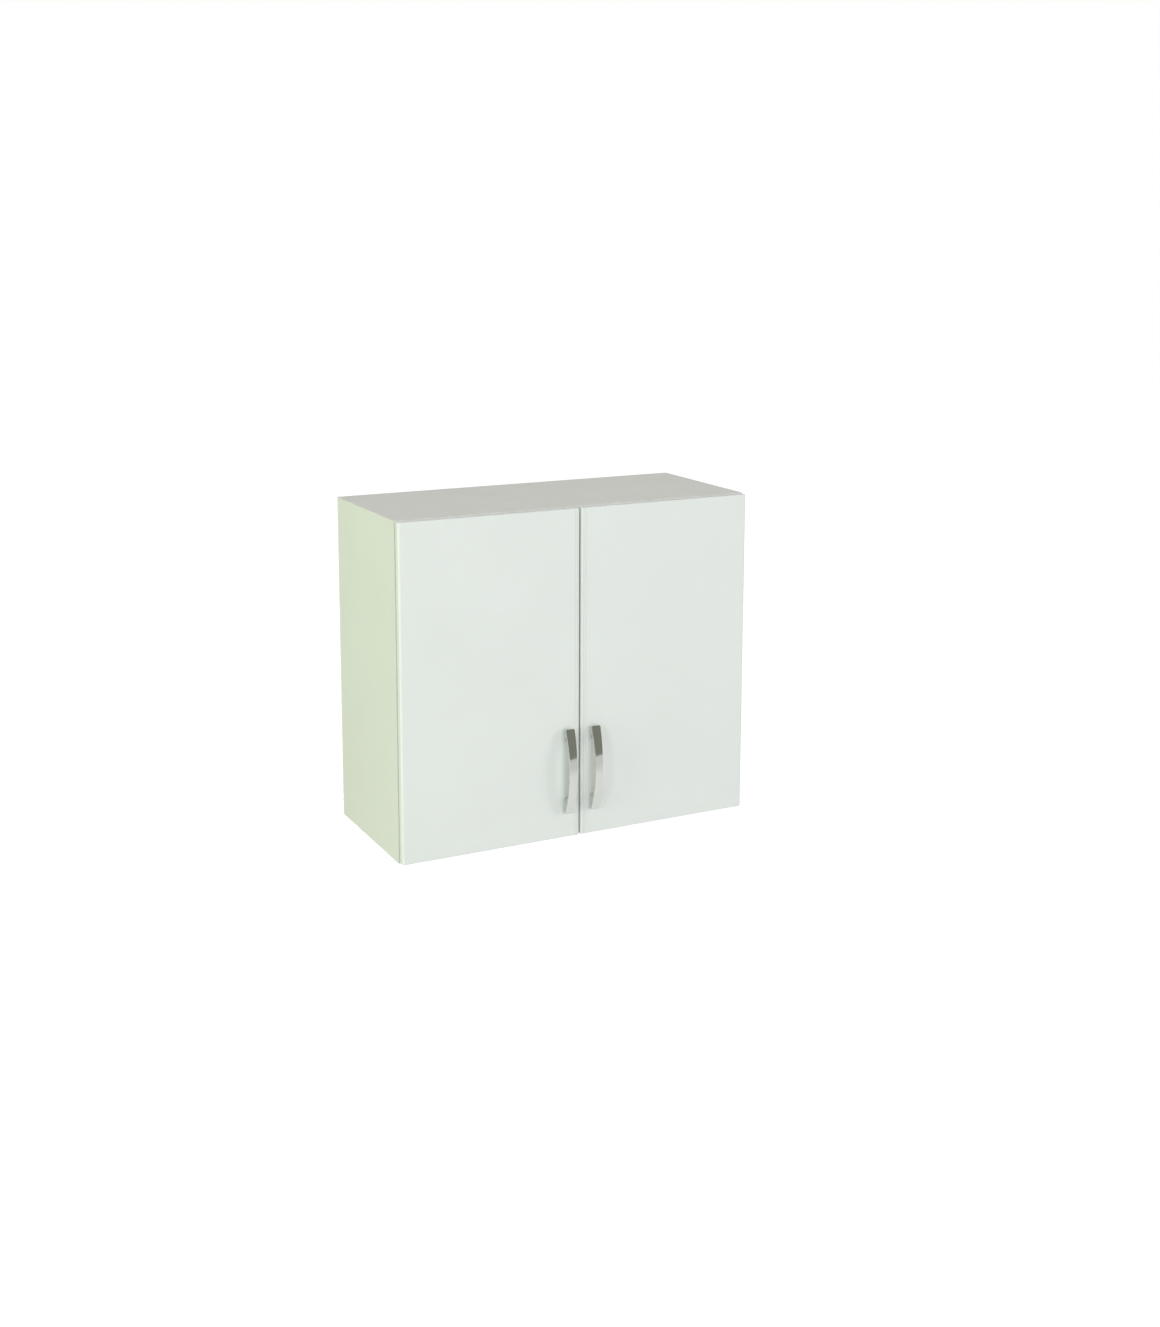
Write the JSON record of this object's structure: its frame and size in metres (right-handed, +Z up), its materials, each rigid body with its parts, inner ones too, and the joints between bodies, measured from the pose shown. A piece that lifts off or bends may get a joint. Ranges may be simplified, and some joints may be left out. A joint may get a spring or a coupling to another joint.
{
  "type": "hanging wall cabinet",
  "caption": "White wall cabinet with hinged slab doors, bowed chrome handles, a loose shelf, concealed hinges and adjustable wall hangers.",
  "frame": {"origin": "centre of the rectangle of wall-plate fixing holes, on the wall plane", "axes": "+X to the right seen from the front, +Y into the wall (the doors face -Y), +Z up"},
  "size_m": [0.8, 0.379, 0.7],
  "materials": {
    "melamine_board": "fine-textured white melamine on chipboard",
    "hardboard_back": "white-painted hardboard",
    "edge_band": "satin white edging strip",
    "door_white": "smooth satin white laminate",
    "beech": "fluted beech, unfinished",
    "zinc_casting": "cast zinc",
    "zinc_plated_steel": "bright zinc plating",
    "white_plastic": "moulded white plastic",
    "polished_chrome": "polished chrome plating",
    "soft_dot": "clear soft dot",
    "nickel_steel": "nickel-plated steel"
  },
  "bodies": {
    "carcass": {"back_panel": "hardboard_back", "bottom_panel": "melamine_board", "cam_bolts": "zinc_plated_steel", "cam_covers": "white_plastic", "cam_locks": "zinc_casting", "edge_band_bottom": "edge_band", "edge_band_shelf": "edge_band", "edge_band_side_left": "edge_band", "edge_band_side_right": "edge_band", "edge_band_top": "edge_band", "hanger_adjust_screws": "zinc_plated_steel", "hanger_fixing_screws": "zinc_plated_steel", "hanger_hook_left": "zinc_plated_steel", "hanger_hook_right": "zinc_plated_steel", "hanger_housing_left": "white_plastic", "hanger_housing_right": "white_plastic", "hinge_arm_lower_left": "nickel_steel", "hinge_arm_lower_right": "nickel_steel", "hinge_arm_pins": "nickel_steel", "hinge_arm_screws": "nickel_steel", "hinge_arm_upper_left": "nickel_steel", "hinge_arm_upper_right": "nickel_steel", "hinge_plate_lower_left": "nickel_steel", "hinge_plate_lower_right": "nickel_steel", "hinge_plate_screws": "nickel_steel", "hinge_plate_upper_left": "nickel_steel", "hinge_plate_upper_right": "nickel_steel", "shelf": "melamine_board", "shelf_supports": "zinc_plated_steel", "side_panel_left": "melamine_board", "side_panel_right": "melamine_board", "top_panel": "melamine_board", "wall_plate_left": "zinc_plated_steel", "wall_plate_right": "zinc_plated_steel", "wood_dowels": "beech"},
    "left_outer_links": {"outer_link_upper_left": "nickel_steel", "outer_link_lower_left": "nickel_steel"},
    "left_door": {"door_left": "door_white", "handle_left": "polished_chrome", "handle_screws_left": "zinc_plated_steel", "door_bumpers_left": "soft_dot", "hinge_cup_upper_left": "nickel_steel", "hinge_cup_lower_left": "nickel_steel", "hinge_cup_pins_left": "nickel_steel", "hinge_cup_screws_left": "nickel_steel"},
    "left_inner_links": {"inner_link_upper_left": "nickel_steel", "inner_link_lower_left": "nickel_steel"},
    "right_outer_links": {"outer_link_upper_right": "nickel_steel", "outer_link_lower_right": "nickel_steel"},
    "right_door": {"door_right": "door_white", "handle_right": "polished_chrome", "handle_screws_right": "zinc_plated_steel", "door_bumpers_right": "soft_dot", "hinge_cup_upper_right": "nickel_steel", "hinge_cup_lower_right": "nickel_steel", "hinge_cup_pins_right": "nickel_steel", "hinge_cup_screws_right": "nickel_steel"},
    "right_inner_links": {"inner_link_upper_right": "nickel_steel", "inner_link_lower_right": "nickel_steel"}
  },
  "joints": [
    {"name": "left_outer_link_pivot", "type": "hinge", "parent": "carcass", "child": "left_outer_links", "pos_m": [-0.3678, -0.3241, -0.275], "axis": [0, 0, 1], "range_deg": [0, 30.4]},
    {"name": "left_door_swing", "type": "hinge", "parent": "left_outer_links", "child": "left_door", "pos_m": [-0.388, -0.3345, -0.275], "axis": [0, 0, -1], "range_deg": [0, 125.4]},
    {"name": "left_inner_link_pivot", "type": "hinge", "parent": "left_door", "child": "left_inner_links", "pos_m": [-0.3884, -0.3407, -0.275], "axis": [0, 0, 1], "range_deg": [0, 99.75]},
    {"name": "right_outer_link_pivot", "type": "hinge", "parent": "carcass", "child": "right_outer_links", "pos_m": [0.3678, -0.3241, -0.275], "axis": [0, 0, -1], "range_deg": [0, 30.4]},
    {"name": "right_door_swing", "type": "hinge", "parent": "right_outer_links", "child": "right_door", "pos_m": [0.388, -0.3345, -0.275], "axis": [0, 0, 1], "range_deg": [0, 125.4]},
    {"name": "right_inner_link_pivot", "type": "hinge", "parent": "right_door", "child": "right_inner_links", "pos_m": [0.3884, -0.3407, -0.275], "axis": [0, 0, -1], "range_deg": [0, 99.75]}
  ],
  "couplings": [
    {"joint": "left_outer_link_pivot", "follows": "left_door_swing", "ratio": 0.24242},
    {"joint": "left_inner_link_pivot", "follows": "left_door_swing", "ratio": 0.79545},
    {"joint": "right_outer_link_pivot", "follows": "right_door_swing", "ratio": 0.24242},
    {"joint": "right_inner_link_pivot", "follows": "right_door_swing", "ratio": 0.79545}
  ]
}
